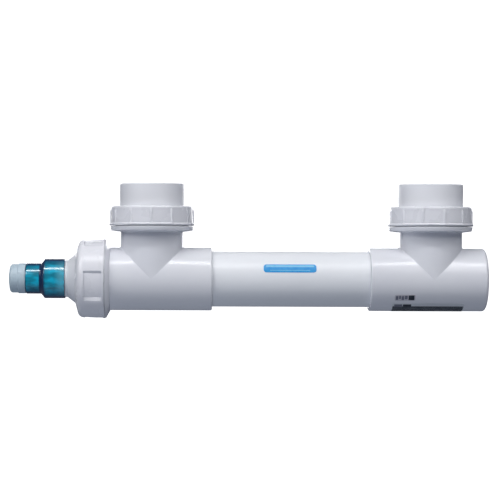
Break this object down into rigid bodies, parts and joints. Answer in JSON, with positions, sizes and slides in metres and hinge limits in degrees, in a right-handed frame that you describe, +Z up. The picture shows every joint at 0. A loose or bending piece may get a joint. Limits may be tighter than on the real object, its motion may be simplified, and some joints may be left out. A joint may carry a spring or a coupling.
{
  "type": "uv clarifier",
  "caption": "White inline ultraviolet water clarifier: a pipe flow chamber between tees with upward union ports, a lugged lamp-end nut, a teal quartz cap and a round lamp cap.",
  "frame": {"origin": "on the flow tube's axis, midway between the two ports", "axes": "+X along the tube, from the lamp end to the blind end; +Z up, along the ports; -Y is the front"},
  "size_m": [0.5196, 0.0936, 0.1472],
  "materials": {
    "white_pvc": "semi-gloss moulded and extruded white PVC",
    "white_nut": "satin moulded white PVC",
    "teal_plastic": "clear teal tint, polished",
    "cap_white": "satin moulded white",
    "seal_rubber": "matte black rubber",
    "quartz": "clear fused quartz",
    "gland_plastic": "moulded off-white",
    "lamp_ceramic": "white ceramic look",
    "lead_sheath": "white insulated lead",
    "contact_brass": "drawn brass",
    "electrode_metal": "drawn nickel steel",
    "label_dark": "printed film",
    "sticker_grey": "printed film",
    "decal_blue": "printed film"
  },
  "bodies": {
    "housing": {"flow_tube": "white_pvc", "inlet_tee": "white_pvc", "outlet_tee": "white_pvc", "end_plug": "white_pvc", "sleeve_cushion": "seal_rubber", "lamp_thread_end": "white_pvc", "lamp_end_seal": "seal_rubber", "inlet_thread_end": "white_pvc", "outlet_thread_end": "white_pvc", "inlet_port_seal": "seal_rubber", "outlet_port_seal": "seal_rubber", "rating_label": "label_dark", "spec_sticker": "sticker_grey", "tube_decal": "decal_blue"},
    "lamp_head": {"sleeve_adapter": "white_pvc", "quartz_sleeve": "quartz", "sleeve_seal": "seal_rubber"},
    "lamp_nut": {"lamp_union_nut": "white_nut"},
    "gland": {"gland_follower": "gland_plastic"},
    "quartz_cap": {"quartz_cap": "teal_plastic"},
    "lamp": {"lamp_tube": "quartz", "lamp_base": "lamp_ceramic", "lamp_end_cap": "lamp_ceramic", "lamp_pins": "contact_brass", "lamp_electrodes": "electrode_metal", "lamp_return_leads": "lead_sheath"},
    "lamp_cap": {"lamp_cap": "cap_white", "cap_seal": "seal_rubber", "lamp_socket": "gland_plastic", "socket_contacts": "contact_brass", "cable_grommet": "seal_rubber"},
    "inlet_tail": {"inlet_tailpiece": "white_pvc"},
    "inlet_nut": {"inlet_union_nut": "white_nut"},
    "outlet_tail": {"outlet_tailpiece": "white_pvc"},
    "outlet_nut": {"outlet_union_nut": "white_nut"}
  },
  "joints": [
    {"name": "lamp_head_draw", "type": "slide", "parent": "housing", "child": "lamp_head", "axis": [-1, 0, 0], "range_m": [0, 0.0202]},
    {"name": "lamp_nut_turn", "type": "hinge", "parent": "lamp_head", "child": "lamp_nut", "pos_m": [-0.219, 0, 0], "axis": [-1, 0, 0], "range_deg": [0, 1800]},
    {"name": "gland_draw", "type": "slide", "parent": "lamp_head", "child": "gland", "axis": [-1, 0, 0], "range_m": [0, 0.0158]},
    {"name": "quartz_cap_turn", "type": "hinge", "parent": "gland", "child": "quartz_cap", "pos_m": [-0.268, 0, 0], "axis": [-1, 0, 0], "range_deg": [0, 2160]},
    {"name": "lamp_draw", "type": "slide", "parent": "gland", "child": "lamp", "axis": [-1, 0, 0], "range_m": [0, 0.468]},
    {"name": "cap_unplug", "type": "slide", "parent": "lamp", "child": "lamp_cap", "axis": [-1, 0, 0], "range_m": [0, 0.012]},
    {"name": "inlet_tail_lift", "type": "slide", "parent": "housing", "child": "inlet_tail", "axis": [0, 0, 1], "range_m": [0, 0.0122]},
    {"name": "inlet_nut_turn", "type": "hinge", "parent": "inlet_tail", "child": "inlet_nut", "pos_m": [-0.1524, 0, 0.0687], "axis": [0, 0, 1], "range_deg": [0, 1080]},
    {"name": "outlet_tail_lift", "type": "slide", "parent": "housing", "child": "outlet_tail", "axis": [0, 0, 1], "range_m": [0, 0.0122]},
    {"name": "outlet_nut_turn", "type": "hinge", "parent": "outlet_tail", "child": "outlet_nut", "pos_m": [0.1524, 0, 0.0687], "axis": [0, 0, 1], "range_deg": [0, 1080]}
  ],
  "couplings": [
    {"joint": "lamp_head_draw", "follows": "lamp_nut_turn", "m_per_rad": 0.00063662},
    {"joint": "gland_draw", "follows": "quartz_cap_turn", "m_per_rad": 0.0004138},
    {"joint": "inlet_tail_lift", "follows": "inlet_nut_turn", "m_per_rad": 0.00063662},
    {"joint": "outlet_tail_lift", "follows": "outlet_nut_turn", "m_per_rad": 0.00063662}
  ]
}
